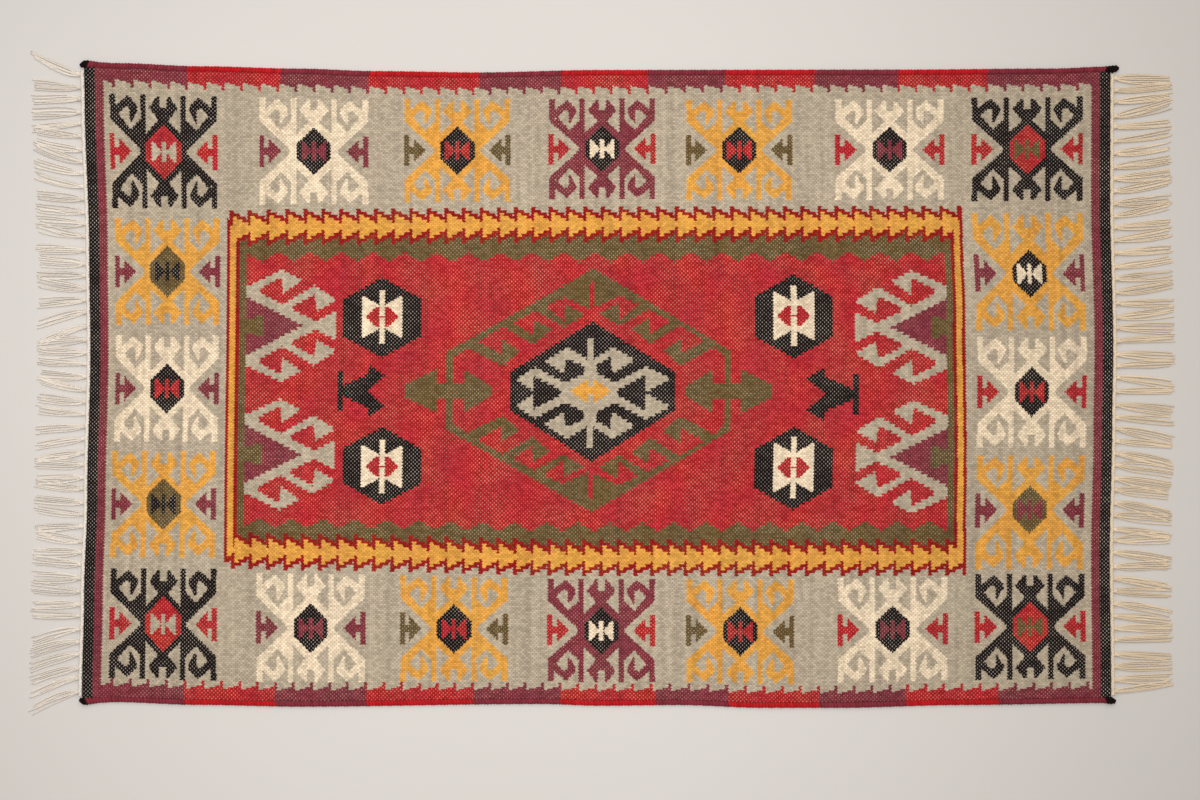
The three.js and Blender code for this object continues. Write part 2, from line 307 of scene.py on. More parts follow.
def inner_frame(chart):
    """The field of red inside a toothed gold band that is lined with red, and a scalloped olive one."""
    u, v = drifted(chart), chart.v
    tall = (v < FRAME_FAR_V) & (v > FRAME_NEAR_V)
    for yarn, left, right in FRAME_SIDES:
        chart.fill(tall & (u > left) & (u < right), yarn)
    swing = np.abs(2 * np.mod((u - FIELD_LEFT - SCALLOP_START) / SCALLOP_PITCH, 1) - 1)
    scallop = SCALLOP_SHALLOW + (SCALLOP_DEEP - SCALLOP_SHALLOW) * swing
    inside = (u > FIELD_LEFT) & (u < FIELD_RIGHT)
    inside &= stepped(v, FRAME_FAR_V) < FRAME_FAR_V - scallop - eased(FAR_DEEPER, u)
    inside &= stepped(v, FRAME_NEAR_V) > FRAME_NEAR_V + scallop + eased(NEAR_DEEPER, u)
    chart.fill(inside, "red")
    _, red_left, red_right = FRAME_SIDES[0]
    _, gold_left, gold_right = FRAME_SIDES[1]
    band = (u > red_left) & (u < red_right)
    inner_gold = (u > gold_left) & (u < gold_right)
    for middle, teeth in ((FRAME_FAR_V, FAR_TEETH), (FRAME_NEAR_V, NEAR_TEETH)):
        off = stepped(np.abs(v - middle), BOLD / 2)
        red_root, red_more = RED_BAND
        gold_root, gold_more = GOLD_BAND
        chart.fill(band & (off < red_root + red_more * sawtooth(u, teeth)), "red line")
        chart.fill(inner_gold & (off < gold_root + gold_more * sawtooth(u, teeth, GOLD_LATER)), "gold")
    _, lining_left, lining_right = FRAME_SIDES[2]
    chart.fill(tall & inner_gold & ((u < lining_left) | (u > lining_right)), "gold")


# The medallion's olive hooks. Each row: top, far side and foot of the red inside the hook,
# then the brow, tip and heel of its head, from the medallion's middle
MEDALLION = (-11, -10)
HOOKS = [
    ((38, 131), (65, 119), (38, 97.5), (37, 122), (10, 106.5), (38, 89.5)),
    ((78, 112), (109, 96), (81, 78.5), (79, 100), (55, 86), (81, 65)),
    ((122, 90), (156, 69.5), (124, 51), (123.5, 72.5), (98, 55.5), (122.5, 35)),
]
LAST_HOOK_TOP = (170, 60)
# Its two sides. way: facing; hooks: their stretch; side: how far out the ring's side is; high: stretch
# of the near and far half
MEDALLION_SIDES = [(-1, 1.03, 206, (0.965, 0.993)), (1, 1.015, 196, (0.98, 1.01))]
RING_WIDE = 9.5
HEXAGON = (-10.5, -9.5)
FIGURE = (-13.5, -10.8)
# The figure's horns on its left and right, outwards from its middle
LEFT_HORNS = [(0, 74), (4, 74), (4, 46), (32, 63), (64.5, 43.5), (36.5, 26), (35.5, 47.5), (8.7, 37),
              (8.7, 26), (35, 14), (42, 16.5), (77.5, 35), (105, 18.5), (81, 2), (80, 23), (41, 3),
              (41, 0), (0, 0)]
RIGHT_HORNS = [(0, 74), (4, 74), (4, 46), (31.5, 63), (63, 45), (34.5, 28.5), (30, 31), (29, 49.5),
               (8.7, 38.5), (8.7, 27), (33, 14.5), (41, 17), (79, 36), (113.5, 19), (81, 2.5), (77.3, 3.5),
               (77, 25), (38, 3), (38, 0), (0, 0)]


def medallion(chart):
    """The hooked olive ring with arrows at its sides, round a black hexagon with a horned figure."""
    for way, hooks_wide, side, high in MEDALLION_SIDES:
        place = {"centre": MEDALLION, "way": way, "high": high}
        hooks = [np.array(hook) * [hooks_wide, 1] for hook in HOOKS]
        last_top = np.array(LAST_HOOK_TOP) * [hooks_wide, 1]
        inner = [(0, 115), (5, 115)]
        for top, far, *_ in hooks:
            inner += [top, far]
        within = side - RING_WIDE
        ring = [(0, 170), (side, 55), (side, 0), (within, 0), (within, 47), last_top] + inner[::-1]
        chart.halves(ring, "olive", **place)
        chart.halves([(3.4, 151), (3.4, 110), (0, 110), (0, 151)], "red", **place)
        tops = [hook[0] for hook in hooks] + [last_top]
        for (_, far, foot, brow, tip, heel), next_top in zip(hooks, tops[1:]):
            chart.halves([far, foot, brow, tip, heel, next_top], "olive", **place)
        arrow = np.array([(58, 0), (58, 8.5), (13, 31), (13, 11), (-26, 11), (-26, 30), (-65, 6), (-65, 0)])
        chart.halves(arrow + [side, 0], "olive", MEDALLION, way)
    chart.quarters([(0, 96.5), (116, 26.5), (116, 0), (0, 0)], "black", HEXAGON, step=BOLD)
    chart.halves(LEFT_HORNS, "stone", FIGURE, -1)
    chart.halves(RIGHT_HORNS, "stone", FIGURE)
    for way in (-1, 1):
        chart.halves([(3.5, 16.5), (28, 1.5), (28, 0), (3.5, 0)], "gold", np.add(FIGURE, (0.5, 2)), way)
    chart.quarters([(4, 6), (0, 6), (0, 0), (4, 0)], "gold", np.add(FIGURE, (0.5, 2)))


def horned_comb(chart, u, v, way, high):
    """A grey comb of two hooked horns on each side of a plum wedge, standing on the field's side."""
    comb = [(-1, 57), (50, 81), (78.5, 65.5), (52, 46.5), (50, 70.5), (20.5, 55), (18.5, 51.5), (21, 47.5),
            (51.5, 30.5), (96, 57.5), (128, 37), (100.5, 21), (96.5, 44.5), (66.5, 29), (64.5, 25.5),
            (67, 21.5), (99, 6.5), (127.5, 21), (127.5, 0), (80, 0), (-1, 43.5)]
    place = {"centre": (u, v), "way": way, "high": high}
    chart.halves([(-2, 46), (84, 0), (-2, 0)], "plum", **place)
    chart.halves(comb, "stone", **place)
    chart.halves([(-2, 8.5), (25, 17.5), (25, 0), (-2, 0)], "olive", **place)


NOTCH_DEEP, BAR_OUT = 12, 9.3  # of a hexagon's panel, from the panel's corner


def cored_hexagon(chart, u, v, half_high, panel):
    """A black hexagon with a cream panel, a bar down its middle and two small red wedges."""
    notch, bar = panel - NOTCH_DEEP, panel + BAR_OUT
    chart.quarters([(0, half_high), (55, half_high - 30), (55, 0), (0, 0)], "black", (u, v), step=BOLD)
    chart.quarters([(29, panel), (26, panel), (4, notch), (4, 0), (29, 0)], "cream", (u, v))
    chart.quarters([(4, bar), (0, bar), (0, 0), (4, 0)], "cream", (u, v))
    chart.quarters([(4, 13.7), (9.5, 13.7), (22, 1.5), (22, 0), (4, 0)], "red", (u, v))
    chart.quarters([(5, 1.5), (0, 1.5), (0, 0), (5, 0)], "red", (u, v))


def forked_figure(chart, u, v, way):
    """A small black fork on an upright bar."""
    chart.halves([(-4, 29.5), (4, 29.5), (4, 0), (-4, 0)], "black", (u, v), way)
    chart.halves([(4, 7.5), (39, 23.5), (40.5, 36.5), (63, 21.5), (39, 0), (4, 0)], "black", (u, v), way)


# Places of the field's smaller motifs: u, v, and then how they face or stretch. A hexagon's last two are
# its half height and that of its panel
COMBS = [
    (FIELD_LEFT, 82, 1, (0.98, 0.98)),
    (FIELD_LEFT, -99, 1, (0.97, 0.97)),
    (FIELD_RIGHT, 77.5, -1.045, (0.97, 0.97)),
    (FIELD_RIGHT, -100.5, -1.035, (0.95, 0.96)),
]
HEXAGONS = [
    (-307.6, 94.5, 56.5, 29),
    (-305.6, -115.7, 54.5, 29),
    (273.7, 94, 58, 33),
    (274.3, -114.7, 56.5, 33),
]
FORKS = [(-366, -9, 1), (361, -13, -1.12)]

# Bands along the long edges change between plum and red at these places
FAR_CHANGES = [-582, -451, -326, -169, -52, 72, 181, 308, 427, 553]
NEAR_CHANGES = [-582, -456, -326, -175, -52, 81, 185, 313, 435, 565]
EDGE_ROOT, EDGE_STEPS, EDGE_SPIKE = 22.5, 6.5, 11  # the toothed edge, inwards from the rug's rim
FAR_EDGE_TEETH = (25.26, [(-550, 0), (-275, 3.6), (0, -4), (275, 3), (550, -0.7)])
NEAR_EDGE_TEETH = (25.48, [(-550, 6.4), (-275, 5.7), (0, -0.6), (275, 7.8), (550, 6)])
SPIKE_WIDE = 0.17  # the thin point at the end of each tooth, as a share of it
# How much deeper the bands are along the edges: place, deeper
FAR_EDGE_DEEPER = [(-150, 0), (-50, 1.5), (100, 1.5), (200, 0)]
NEAR_EDGE_DEEPER = [(-400, 0), (-100, -1.7), (725, -1.7)]
BLACK_END, PLUM_END = 14, 26.5  # end bands, inwards from the rug's end


def edge_is_red(u, changes):
    """Whether the band along a long edge is red, and not plum, at a place."""
    return np.searchsorted(changes, u) % 2 == 1


def edge_bands(chart):
    """The toothed bands along the long edges and the plain ones across the ends."""
    u, v = chart.u, chart.v
    edges = [
        (1, FAR_CHANGES, FAR_EDGE_TEETH, FAR_EDGE_DEEPER),
        (-1, NEAR_CHANGES, NEAR_EDGE_TEETH, NEAR_EDGE_DEEPER),
    ]
    for side, changes, teeth, deeper in edges:
        rise = 1 - sawtooth(u, teeth)
        tooth = np.where(rise > 1 - SPIKE_WIDE, EDGE_SPIKE, EDGE_STEPS * rise)
        band = WIDTH / 2 - side * v < EDGE_ROOT + eased(deeper, u) + tooth
        red = edge_is_red(u, changes)
        chart.fill(band & red, "red")
        chart.fill(band & ~red, "plum")
    inset = LENGTH / 2 - np.abs(u)
    chart.fill(inset < PLUM_END, "plum")
    chart.fill(inset < BLACK_END, "black end")


def kilim_chart(u, v):
    """The whole pattern at the middles of the picks."""
    chart = Chart(u, v)
    inner_frame(chart)
    for middle_u, middle_v, *sizes_and_yarns in BORDER:
        rams_horns(chart, (middle_u, middle_v), *sizes_and_yarns)
    medallion(chart)
    for comb_u, comb_v, way, high in COMBS:
        horned_comb(chart, comb_u, comb_v, way, high)
    side_lines(chart)
    for hexagon_u, hexagon_v, half_high, panel in HEXAGONS:
        cored_hexagon(chart, hexagon_u, hexagon_v, half_high, panel)
    for fork_u, fork_v, way in FORKS:
        forked_figure(chart, fork_u, fork_v, way)
    edge_bands(chart)
    return chart.yarn


# Woven face


def zipped(a, b, a_start, b_start):
    """Triangles between two rows of points, given their places along the rows and first indices."""
    triangles, starts = [], []
    i = k = 0
    while i < len(a) - 1 or k < len(b) - 1:
        next_a = a[i + 1] if i < len(a) - 1 else math.inf
        next_b = b[k + 1] if k < len(b) - 1 else math.inf
        start = max(a[i], b[k])
        if next_a <= next_b:
            triangles.append((a_start + i, a_start + i + 1, b_start + k))
            starts.append(start)
            i += 1
        if next_b <= next_a:
            triangles.append((a_start + i, b_start + k + 1, b_start + k))
            starts.append(start)
            k += 1
    return triangles, starts


class WovenFace:
    """One face of the cloth as strips of triangles, a strip to each warp, cut where the yarn changes.
    The picks lie brickwise from warp to warp, so the edges of the motifs come out toothed."""

    STOPS = 24  # picks between points where nothing changes

    def __init__(self, thread, first):
        self.rows = round(2 * CLOTH_HALF / thread)
        self.picks = round(LENGTH / thread)
        row, cell = np.mgrid[0:self.rows, 0:self.picks + 1]
        start = np.clip(cell - row % 2 / 2, 0, self.picks)
        end = np.clip(cell - row % 2 / 2 + 1, 0, self.picks)
        yarn = kilim_chart(self.along((start + end) / 2), self.across(row + 0.5))
        stops = np.arange(0, self.picks + 1, self.STOPS)
        turns = []
        for j in range(self.rows):
            changed = np.flatnonzero(np.diff(yarn[j])) + 1
            turns.append((start[j, changed], np.concatenate([yarn[j, :1], yarn[j, changed]])))
        self.lines = []
        for j in range(self.rows + 1):
            near = turns[max(j - 1, 0)][0]
            far = turns[min(j, self.rows - 1)][0]
            self.lines.append(np.unique(np.concatenate([near, far, stops, [self.picks]])))
        sizes = [len(line) for line in self.lines]
        self.starts = first + np.concatenate([[0], np.cumsum(sizes)])
        self.triangles, self.yarns = [], []
        for j in range(self.rows):
            made, at = zipped(self.lines[j].tolist(), self.lines[j + 1].tolist(),
                              self.starts[j], self.starts[j + 1])
            places, run_yarns = turns[j]
            self.triangles += made
            self.yarns.append(run_yarns[np.searchsorted(places, at, side="right")])
        self.yarns = np.concatenate(self.yarns)
        self.pick = np.concatenate(self.lines).astype(float)
        self.row = np.repeat(np.arange(self.rows + 1.0), sizes)
        self.u, self.v = self.along(self.pick), self.across(self.row)

    def along(self, pick):
        return (pick / self.picks - 0.5) * LENGTH

    def across(self, row):
        return (2 * row / self.rows - 1) * CLOTH_HALF

    def rim(self):
        """The face's points round its rim: near side, right end, far side and left end."""
        near = np.arange(self.starts[0], self.starts[1])
        far = np.arange(self.starts[-2], self.starts[-1])
        left, right = self.starts[:-1], self.starts[1:] - 1
        return near, right, far, left


def rim_wall(top, under, first_under):
    """Triangles that close the rim between the two faces."""
    triangles = []
    sides = zip(top.rim(), under.rim(), ("u", "v", "u", "v"), (1, 1, -1, -1))
    for top_points, under_points, axis, way in sides:
        a = getattr(under, axis)[under_points - first_under]
        b = getattr(top, axis)[top_points]
        made, _ = zipped(a.tolist(), b.tolist(), 0, len(a))
        points = np.concatenate([under_points, top_points])[np.array(made)]
        triangles.append(points if way > 0 else points[:, ::-1])
    return np.concatenate(triangles)


UNDER_THREAD = 4 * THREAD  # the underside, which the floor hides, is charted more coarsely
FACE_SHARE = 0.61  # of the unwrapped square, for the upper face
UNDER_SHARE = 0.6  # size of the underside in the unwrapped square, against the upper face
FLAT_MARGIN = 0.005  # round both of them


def woven_cloth():
    """The cloth: both faces in one pattern, and the rim between them, as one closed mesh."""
    top = WovenFace(THREAD, 0)
    first_under = int(top.starts[-1])
    under = WovenFace(UNDER_THREAD, first_under)
    x, y = laid(top.u, top.v)
    waves = [np.sin(x / along + y / across + phase) for along, across, phase in RIPPLES]
    ripple = RIPPLE * sum(waves) / len(waves)
    under_x, under_y = laid(under.u, under.v)
    points = np.concatenate([metres(x, y, CLOTH_THICK + ripple), metres(under_x, under_y, 0.0)])
    wall = rim_wall(top, under, first_under)
    triangles = np.concatenate([np.array(top.triangles), np.array(under.triangles)[:, ::-1], wall])
    wall_yarn = np.full(len(wall), YARN_NAMES.index("black"))
    mesh = bpy.data.meshes.new("rug_cloth")
    mesh.from_pydata(points.tolist(), [], triangles.tolist())
    mesh.attributes.new("yarn", "FLOAT", "FACE").data.foreach_set(
        "value", np.concatenate([top.yarns, under.yarns, wall_yarn]).astype(np.float32))
    corner = triangles.ravel()
    coarse = UNDER_THREAD / THREAD
    weave = np.stack([np.concatenate([top.pick, under.pick * coarse]),
                      np.concatenate([top.row, under.row * coarse])], axis=-1)
    flat_top, flat_under = (
        np.stack([face.u / LENGTH + 0.5, (face.v + CLOTH_HALF) / LENGTH], axis=-1) for face in (top, under))
    under_corner = [FLAT_MARGIN, FACE_SHARE + 4 * FLAT_MARGIN]
    flat = np.concatenate([flat_top * (1 - 2 * FLAT_MARGIN) + FLAT_MARGIN,
                           flat_under * UNDER_SHARE + under_corner])
    for name, place in (("OFBake", flat), ("weave", weave)):
        mesh.uv_layers.new(name=name).data.foreach_set("uv", place[corner].astype(np.float32).ravel())
    mesh.polygons.foreach_set("use_smooth", np.ones(len(triangles), bool))
    cloth = bpy.data.objects.new("rug_cloth", mesh)
    bpy.context.scene.collection.objects.link(cloth)
    return cloth


# Node trees

MATH = "ShaderNodeMath"
VECTOR_MATH = "ShaderNodeVectorMath"
NAMED = "GeometryNodeInputNamedAttribute"
RANGE = "ShaderNodeMapRange"
NOISE = "ShaderNodeTexNoise"


def node(tree, kind, inputs=None, **settings):
    """Adds a node with its settings and its inputs' values or links. A node links by its first output."""
    made = tree.nodes.new(kind)
    for name, value in settings.items():
        setattr(made, name, value)
    for key, value in (inputs or {}).items():
        source = value.outputs[0] if isinstance(value, bpy.types.Node) else value
        if isinstance(source, bpy.types.NodeSocket):
            tree.links.new(source, made.inputs[key])
        else:
            made.inputs[key].default_value = source
    return made


def linear(code, alpha=1.0):
    """An sRGB hex colour as linear light."""
    channels = [int(code[i:i + 2], 16) / 255 for i in (1, 3, 5)]
    return [c / 12.92 if c <= 0.04045 else ((c + 0.055) / 1.055) ** 2.4 for c in channels] + [alpha]


def new_tree(name, sizes):
    """A geometry tree with named inputs, and its group input's sockets by name."""
    tree = bpy.data.node_groups.new(name, "GeometryNodeTree")
    tree.interface.new_socket("Geometry", in_out="INPUT", socket_type="NodeSocketGeometry")
    for label, kind in sizes.items():
        tree.interface.new_socket(label, in_out="INPUT", socket_type=kind)
    tree.interface.new_socket("Geometry", in_out="OUTPUT", socket_type="NodeSocketGeometry")
    return tree, node(tree, "NodeGroupInput").outputs


def close_tree(tree, shape, material):
    """Ends a geometry tree in plain geometry with its material."""
    real = node(tree, "GeometryNodeRealizeInstances", {"Geometry": shape})
    smooth = node(tree, "GeometryNodeSetShadeSmooth", {"Geometry": real})
    dressed = node(tree, "GeometryNodeSetMaterial", {"Geometry": smooth, "Material": material})
    node(tree, "NodeGroupOutput", {"Geometry": dressed})


LOBES = 2  # plies that stand out of a twisted yarn


def yarn_tree():
    """Sweeps a lobed section along each path, turned and thickened as the path's points say."""
    tree, given = new_tree("swept_yarn", {
        "Sides": "NodeSocketInt",
        "Lobe Depth": "NodeSocketFloat",
        "Flatten": "NodeSocketFloat",
        "Slant": "NodeSocketFloat",
        "Material": "NodeSocketMaterial",
    })
    turn = node(tree, NAMED, {"Name": "turn"}, data_type="FLOAT")
    thick = node(tree, NAMED, {"Name": "thick"}, data_type="FLOAT")
    place = node(tree, "GeometryNodeInputPosition")
    paths = node(tree, "GeometryNodeMeshToCurve", {"Mesh": given["Geometry"]})
    paths = node(tree, "GeometryNodeSetCurveNormal", {"Curve": paths}, mode="Z_UP")
    paths = node(tree, "GeometryNodeSetCurveTilt", {"Curve": paths, "Tilt": turn})
    paths = node(tree, "GeometryNodeStoreNamedAttribute",
                 {"Geometry": paths, "Name": "centre", "Value": place},
                 data_type="FLOAT_VECTOR", domain="POINT")
    ring = node(tree, "GeometryNodeCurvePrimitiveCircle", {"Resolution": given["Sides"], "Radius": 1.0},
                mode="RADIUS")
    corner = node(tree, "GeometryNodeInputIndex")
    share = node(tree, MATH, {0: corner, 1: given["Sides"]}, operation="DIVIDE")
    angle = node(tree, MATH, {0: share, 1: LOBES * 2 * math.pi}, operation="MULTIPLY")
    lobe = node(tree, MATH, {0: angle}, operation="COSINE")
    reach = node(tree, MATH, {0: lobe, 1: given["Lobe Depth"], 2: 1.0}, operation="MULTIPLY_ADD")
    lobed = node(tree, VECTOR_MATH, {"Vector": place, "Scale": reach}, operation="SCALE")
    ring = node(tree, "GeometryNodeSetPosition", {"Geometry": ring, "Position": lobed})
    swept = node(tree, "GeometryNodeCurveToMesh",
                 {"Curve": paths, "Profile Curve": ring, "Scale": thick, "Fill Caps": True})
    centre = node(tree, NAMED, {"Name": "centre"}, data_type="FLOAT_VECTOR")
    off = node(tree, VECTOR_MATH, {0: place, 1: centre}, operation="SUBTRACT")
    part = node(tree, "ShaderNodeSeparateXYZ", {"Vector": off}).outputs
    flatter = node(tree, MATH, {0: given["Flatten"], 1: 1.0}, operation="SUBTRACT")
    sink = node(tree, MATH, {0: part["Z"], 1: flatter}, operation="MULTIPLY")
    lean = node(tree, MATH, {0: part["Y"], 1: given["Slant"]}, operation="MULTIPLY")
    shift = node(tree, "ShaderNodeCombineXYZ", {"X": lean, "Z": sink})
    swept = node(tree, "GeometryNodeSetPosition", {"Geometry": swept, "Offset": shift})
    close_tree(tree, swept, given["Material"])
    return tree


KNOT_SPANS = 9  # to a turn of a knot's coil
KNOT_SIDES = 6


def knot_tree():
    """Ties a wrapped knot, a short coil of yarn, at each point, facing as the point says."""
    tree, given = new_tree("wrapped_knots", {
        "Turns": "NodeSocketFloat",
        "Coil Radius": "NodeSocketFloat",
        "Yarn Radius": "NodeSocketFloat",
        "Length": "NodeSocketFloat",
        "Material": "NodeSocketMaterial",
    })
    coil = node(tree, "GeometryNodeCurveSpiral", {
        "Resolution": KNOT_SPANS, "Rotations": given["Turns"], "Start Radius": given["Coil Radius"],
        "End Radius": given["Coil Radius"], "Height": given["Length"]})
    ring = node(tree, "GeometryNodeCurvePrimitiveCircle",
                {"Resolution": KNOT_SIDES, "Radius": given["Yarn Radius"]}, mode="RADIUS")
    wrap = node(tree, "GeometryNodeCurveToMesh", {"Curve": coil, "Profile Curve": ring, "Fill Caps": True})
    facing = node(tree, NAMED, {"Name": "facing"}, data_type="FLOAT_VECTOR")
    size = node(tree, NAMED, {"Name": "size"}, data_type="FLOAT_VECTOR")
    turned = node(tree, "FunctionNodeEulerToRotation", {0: facing})
    knots = node(tree, "GeometryNodeInstanceOnPoints", {
        "Points": given["Geometry"], "Instance": wrap, "Rotation": turned, "Scale": size})
    close_tree(tree, knots, given["Material"])
    return tree


def grown(name, points, edges, attributes, tree, sizes):
    """A plain mesh that a geometry tree grows on points and edges with these attributes."""
    mesh = bpy.data.meshes.new(name + "_paths")
    mesh.from_pydata(points, edges, [])
    for label, (kind, values) in attributes.items():
        field = {"FLOAT": "value", "FLOAT_VECTOR": "vector", "FLOAT_COLOR": "color"}[kind]
        values = np.array(values, np.float32).ravel()
        mesh.attributes.new(label, kind, "POINT").data.foreach_set(field, values)
    paths = bpy.data.objects.new(name + "_paths", mesh)
    bpy.context.scene.collection.objects.link(paths)
    modifier = paths.modifiers.new("grow", "NODES")
    modifier.node_group = tree
    for item in tree.interface.items_tree:
        if item.in_out == "INPUT" and item.name in sizes:
            modifier[item.identifier] = sizes[item.name]
    graph = bpy.context.evaluated_depsgraph_get()
    made = bpy.data.meshes.new_from_object(
        paths.evaluated_get(graph), preserve_all_data_layers=True, depsgraph=graph)
    bpy.data.objects.remove(paths)
    made.name = name
    piece = bpy.data.objects.new(name, made)
    bpy.context.scene.collection.objects.link(piece)
    return piece


# Materials


def new_material(name, **values):
    """A material with these values on its shader's sockets, its node tree and its shader."""
    material = bpy.data.materials.new(name)
    material.use_nodes = True
    shader = material.node_tree.nodes["Principled BSDF"]
    for socket, value in values.items():
        shader.inputs[socket.replace("_", " ")].default_value = value
    return material, material.node_tree, shader.inputs


# The weave as it is drawn, along a float and across it, in shares of a float and of a thread
FLOAT_ROUND = (0.3, 0.42)  # how far its end and its side are rounded
SIDE_HIGH = 0.75  # its height at the side, against the middle
DOT_ENDS = (0.18, 0.06)  # where the dot of warp past its end starts, and where it is full
DOT_SIDES = (0.04, 0.25)
ABRASH_GRAIN = (0.24, 0.0065, 1.0)  # the dye changes from pick to pick, and slowly along a pick
PATCH_GRAIN = 0.05  # worn patches, some twenty threads across
FUZZ_GRAIN = 2.3
# Shares of the wool's tone
TONE, SPUN_TONE, ABRASH_TONE = 0.54, 0.36, 0.56
# Painted shade and light: the tone falls to the first share in the grooves between floats and rises by the
# second on their tops
PAINTED_GROOVE_SHADE, PAINTED_FLOAT_LIGHT = 0.79, 0.34
HUE, HUE_SWING = 0.492, 0.016
# How much of the warp shows, against its yarn's own share
WORN_FROM, WORN_TO = (0.38, 0.7), (0.62, 1.3)  # patch, share
EVEN_DOT, UNEVEN_DOT = 0.45, 1.1


def flat_woven_wool():
    """Hand-spun wool weft on cotton warps in plain weave: matt, uneven in dye from pick to pick, with
    painted shade between the floats and painted light on their tops, and small pale dots where the warp
    shows."""
    material, tree, shader = new_material(
        "flat_woven_wool", Roughness=0.95, Specular_IOR_Level=0.08, Sheen_Weight=0.02, Sheen_Roughness=0.6)
    # Threads counted along and across the warps. A float is two threads long, and rows lie brickwise
    uv = node(tree, "ShaderNodeUVMap", uv_map="weave")
    shown = THREAD / SHOWN_THREAD
    threads = node(tree, VECTOR_MATH, {0: uv, 1: (shown, shown, 1.0)}, operation="MULTIPLY")
    part = node(tree, "ShaderNodeSeparateXYZ", {0: threads}).outputs
    row = node(tree, MATH, {0: part["Y"]}, operation="FLOOR")
    odd = node(tree, MATH, {0: row, 1: 2.0}, operation="FLOORED_MODULO")
    brick = node(tree, MATH, {0: part["X"], 1: odd}, operation="ADD")
    along = node(tree, MATH, {0: brick, 1: 0.5}, operation="MULTIPLY")
    from_end = node(tree, MATH, {0: along, 1: 0.5}, operation="PINGPONG")
    from_side = node(tree, MATH, {0: part["Y"], 1: 0.5}, operation="PINGPONG")
    column = node(tree, MATH, {0: along}, operation="FLOOR")
    float_id = node(tree, "ShaderNodeCombineXYZ", {"X": column, "Y": row})

    yarn = node(tree, "ShaderNodeAttribute", attribute_name="yarn").outputs["Fac"]
    place = node(tree, MATH, {0: yarn, 1: 1 / len(YARNS), 2: 0.5 / len(YARNS)}, operation="MULTIPLY_ADD")
    ramps = []
    dyes = [linear(dye) for dye, _ in YARNS.values()]
    shows = [[show] * 3 + [1] for _, show in YARNS.values()]
    for values in (dyes, shows):
        ramp = node(tree, "ShaderNodeValToRGB", {"Fac": place})
        ramp.color_ramp.interpolation = "CONSTANT"
        while len(ramp.color_ramp.elements) < len(values):
            ramp.color_ramp.elements.new(1.0)
        for i, value in enumerate(values):
            ramp.color_ramp.elements[i].position = i / len(values)
            ramp.color_ramp.elements[i].color = value
        ramps.append(ramp)
    dye, warp_shows = ramps

    end_round, side_round = FLOAT_ROUND
    round_u = node(tree, RANGE, {0: from_end, 1: 0.0, 2: end_round}, interpolation_type="SMOOTHSTEP")
    round_v = node(tree, RANGE, {0: from_side, 1: 0.0, 2: side_round}, interpolation_type="SMOOTHSTEP")
    round_v = node(tree, MATH, {0: round_v, 1: 1 - SIDE_HIGH, 2: SIDE_HIGH}, operation="MULTIPLY_ADD")
    dome = node(tree, MATH, {0: round_u, 1: round_v}, operation="MULTIPLY")
    spun = node(tree, "ShaderNodeTexWhiteNoise", {"Vector": float_id}, noise_dimensions="2D")
    picks = node(tree, VECTOR_MATH, {0: threads, 1: ABRASH_GRAIN}, operation="MULTIPLY")
    abrash = node(tree, NOISE, {"Vector": picks, "Scale": 1.0, "Detail": 3.0, "Roughness": 0.6},
                  noise_dimensions="2D")
    patch = node(tree, NOISE, {"Vector": threads, "Scale": PATCH_GRAIN, "Detail": 3.0},
                 noise_dimensions="2D")
    tone = node(tree, MATH, {0: spun, 1: SPUN_TONE, 2: TONE}, operation="MULTIPLY_ADD")
    tone = node(tree, MATH, {0: abrash, 1: ABRASH_TONE, 2: tone}, operation="MULTIPLY_ADD")
    # Painted shade: darker at the floats' ends and sides, lighter on their domed tops
    painted_shade = node(tree, MATH, {0: dome, 1: PAINTED_FLOAT_LIGHT, 2: PAINTED_GROOVE_SHADE}, operation="MULTIPLY_ADD")
    tone = node(tree, MATH, {0: tone, 1: painted_shade}, operation="MULTIPLY")
    hue = node(tree, MATH, {0: patch, 1: HUE_SWING, 2: HUE}, operation="MULTIPLY_ADD")
    dyed = node(tree, "ShaderNodeHueSaturation", {"Hue": hue, "Value": tone, "Color": dye})

    end_start, end_full = DOT_ENDS
    side_start, side_full = DOT_SIDES
    gap_u = node(tree, RANGE, {0: from_end, 1: end_start, 2: end_full}, interpolation_type="SMOOTHSTEP")
    gap_v = node(tree, RANGE, {0: from_side, 1: side_start, 2: side_full}, interpolation_type="SMOOTHSTEP")
    gap = node(tree, MATH, {0: gap_u, 1: gap_v}, operation="MULTIPLY")
    (patch_low, worn_low), (patch_high, worn_high) = WORN_FROM, WORN_TO
    worn = node(tree, RANGE, {0: patch, 1: patch_low, 2: patch_high, 3: worn_low, 4: worn_high})
    uneven = node(tree, MATH, {0: spun, 1: UNEVEN_DOT, 2: EVEN_DOT}, operation="MULTIPLY_ADD")
    showing = node(tree, MATH, {0: worn, 1: uneven}, operation="MULTIPLY")
    showing = node(tree, MATH, {0: showing, 1: warp_shows}, operation="MULTIPLY")
    dot = node(tree, MATH, {0: gap, 1: showing}, operation="MULTIPLY")
    mixed = node(tree, "ShaderNodeMix", {0: dot, 6: dyed, 7: linear(COTTON)}, data_type="RGBA").outputs[2]
    tree.links.new(mixed, shader["Base Color"])

    fuzz = node(tree, NOISE, {"Vector": threads, "Scale": FUZZ_GRAIN, "Detail": 2.0}, noise_dimensions="2D")
    relief = node(tree, MATH, {0: fuzz, 1: 0.5, 2: dome}, operation="MULTIPLY_ADD")
    bump = node(tree, "ShaderNodeBump", {"Height": relief, "Strength": 0.7, "Distance": 0.0007})
    tree.links.new(bump.outputs[0], shader["Normal"])
    return material


CORD_GRAIN = 60.0  # change of tone across a cord, to a metre
FIBRE_GRAIN = 2200.0  # single fibres, to a metre
WRAP_TONE, WRAP_SWING = 0.56, 0.9


